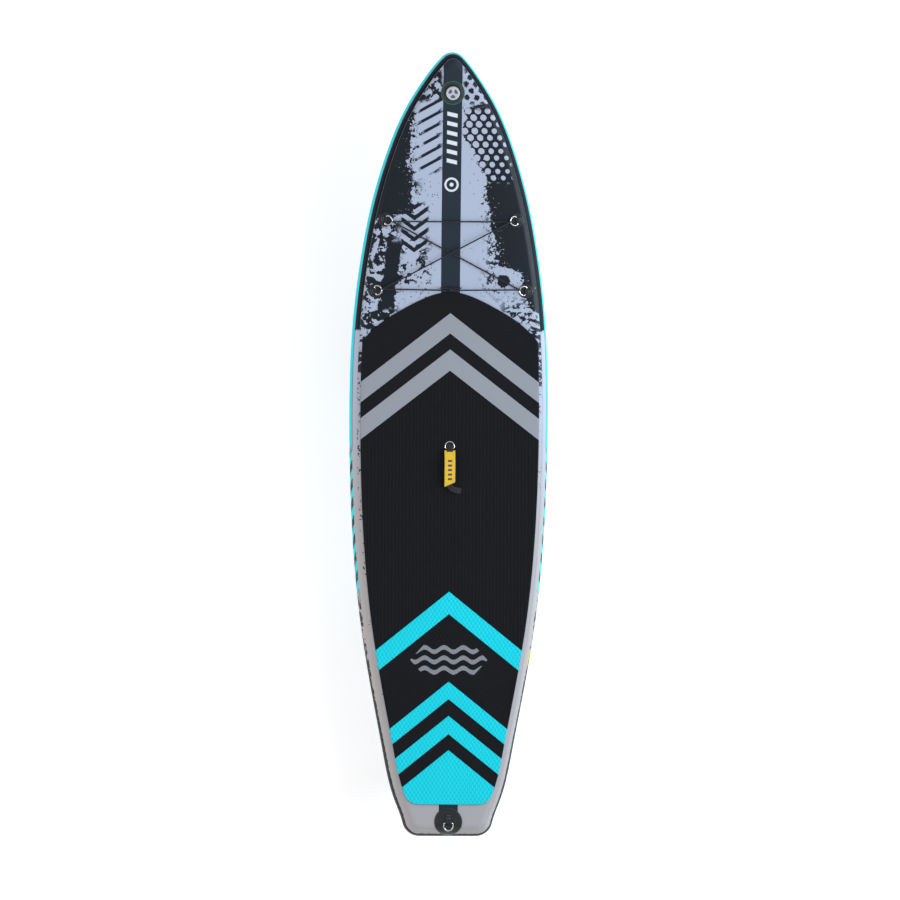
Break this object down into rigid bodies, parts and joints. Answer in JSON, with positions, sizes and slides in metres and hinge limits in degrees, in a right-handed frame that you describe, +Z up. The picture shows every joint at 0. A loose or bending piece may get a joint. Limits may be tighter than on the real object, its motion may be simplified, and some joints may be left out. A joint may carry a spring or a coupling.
{
  "type": "inflatable stand up paddleboard",
  "caption": "Inflatable stand up paddleboard with a chevron traction pad, bungee lacing, carry handle, inflation valve, leash ring and fins.",
  "frame": {"origin": "centre of the flat middle of the hull underside, on the centreline half way along the board", "axes": "+Y to the nose, +X starboard, +Z up out of the deck"},
  "size_m": [0.8132, 3.2, 0.5211],
  "materials": {
    "deck_print": "satin",
    "bottom_print": "satin",
    "pvc_grey": "satin",
    "rail_print": "satin",
    "yarn": "matte",
    "eva_turquoise": "matte",
    "eva_grey": "matte",
    "eva_black": "matte",
    "pvc_black": "satin",
    "stainless": "polished",
    "webbing_black": "matte",
    "neoprene_yellow": "matte",
    "cord_black": "matte",
    "valve_plastic": "satin",
    "valve_white": "satin",
    "seal_rubber": "matte",
    "steel_small": "satin",
    "fin_box_plastic": "satin",
    "fin_plastic": "satin"
  },
  "bodies": {
    "board": {"bottom_skin": "bottom_print", "bungee_cord": "cord_black", "bungee_knot": "cord_black", "bungee_patch_front_port": "pvc_black", "bungee_patch_front_starboard": "pvc_black", "bungee_patch_rear_port": "pvc_black", "bungee_patch_rear_starboard": "pvc_black", "bungee_tab_front_port": "webbing_black", "bungee_tab_front_starboard": "webbing_black", "bungee_tab_rear_port": "webbing_black", "bungee_tab_rear_starboard": "webbing_black", "deck_skin": "deck_print", "drop_stitch_yarns": "yarn", "fin_box": "fin_box_plastic", "handle_foot_front": "pvc_black", "handle_foot_rear": "pvc_black", "handle_sleeve": "neoprene_yellow", "handle_webbing": "webbing_black", "leash_patch": "pvc_black", "leash_tab": "webbing_black", "pad_backing": "eva_black", "pad_chevron_black_front": "eva_black", "pad_chevron_black_mid": "eva_black", "pad_chevron_black_rear": "eva_black", "pad_chevron_grey_front": "eva_grey", "pad_chevron_grey_rear": "eva_grey", "pad_chevron_turquoise_front": "eva_turquoise", "pad_chevron_turquoise_mid": "eva_turquoise", "pad_chevron_turquoise_rear": "eva_turquoise", "pad_emblem_panel": "eva_black", "pad_main_grooved": "eva_black", "pad_nose_black": "eva_black", "pad_tail_turquoise": "eva_turquoise", "rail_band_port": "rail_print", "rail_band_starboard": "rail_print", "rail_wall_port": "pvc_grey", "rail_wall_starboard": "pvc_grey", "side_fin_port": "fin_plastic", "side_fin_starboard": "fin_plastic", "valve_body": "valve_plastic", "valve_nut": "valve_plastic", "valve_patch": "pvc_black", "valve_spring": "steel_small"},
    "fin": {"fin_blade": "fin_plastic", "fin_pin": "steel_small", "fin_nut_plate": "steel_small"},
    "valve_seal_lift": {"valve_cap_seal": "seal_rubber"},
    "valve_cap": {"valve_cap": "valve_white"},
    "valve_plunger": {"valve_plunger": "valve_plastic"},
    "leash_ring": {"leash_ring": "stainless"},
    "handle_ring": {"handle_ring": "stainless"},
    "fin_screw": {"fin_screw": "steel_small"},
    "bungee_ring_front_port": {"bungee_ring_front_port": "stainless"},
    "bungee_ring_front_starboard": {"bungee_ring_front_starboard": "stainless"},
    "bungee_ring_rear_port": {"bungee_ring_rear_port": "stainless"},
    "bungee_ring_rear_starboard": {"bungee_ring_rear_starboard": "stainless"}
  },
  "joints": [
    {"name": "bungee_ring_front_port_swing", "type": "hinge", "parent": "board", "child": "bungee_ring_front_port", "pos_m": [-0.268, 0.91532, 0.19517], "axis": [-0.225, -0.9686, -0.1056], "range_deg": [-8, 100], "deforming": ["bungee_cord"]},
    {"name": "bungee_ring_front_starboard_swing", "type": "hinge", "parent": "board", "child": "bungee_ring_front_starboard", "pos_m": [0.268, 0.91532, 0.19517], "axis": [-0.225, 0.9686, 0.1056], "range_deg": [-8, 100], "deforming": ["bungee_cord"]},
    {"name": "bungee_ring_rear_port_swing", "type": "hinge", "parent": "board", "child": "bungee_ring_rear_port", "pos_m": [-0.308, 0.62659, 0.1701], "axis": [0.225, -0.9723, -0.063], "range_deg": [-8, 100], "deforming": ["bungee_cord"]},
    {"name": "bungee_ring_rear_starboard_swing", "type": "hinge", "parent": "board", "child": "bungee_ring_rear_starboard", "pos_m": [0.308, 0.62659, 0.1701], "axis": [0.225, 0.9723, 0.063], "range_deg": [-8, 100], "deforming": ["bungee_cord"]},
    {"name": "leash_ring_swing", "type": "hinge", "parent": "board", "child": "leash_ring", "pos_m": [0, -1.54541, 0.17847], "axis": [-1, 0, 0], "range_deg": [0, 150]},
    {"name": "handle_ring_swing", "type": "hinge", "parent": "board", "child": "handle_ring", "pos_m": [0, -0.016, 0.1594], "axis": [1, 0, 0], "range_deg": [0, 85]},
    {"name": "valve_cap_lift", "type": "slide", "parent": "board", "child": "valve_seal_lift", "axis": [0, -0.1866, 0.9824], "range_m": [0, 0.06]},
    {"name": "valve_cap_twist", "type": "hinge", "parent": "valve_seal_lift", "child": "valve_cap", "pos_m": [0, 1.43151, 0.27391], "axis": [0, -0.1866, 0.9824], "continuous": true},
    {"name": "valve_plunger_press", "type": "slide", "parent": "board", "child": "valve_plunger", "axis": [0, 0.1866, -0.9824], "range_m": [0, 0.005], "stiffness_N_per_m": 900, "springref_m": -0.002, "deforming": ["valve_spring"]},
    {"name": "fin_slide", "type": "slide", "parent": "board", "child": "fin", "axis": [0, 1, 0], "range_m": [-0.03, 0.045]},
    {"name": "fin_screw_turn", "type": "hinge", "parent": "fin", "child": "fin_screw", "pos_m": [0, -1.139, -0.025], "axis": [0, 0, -1], "continuous": true}
  ]
}
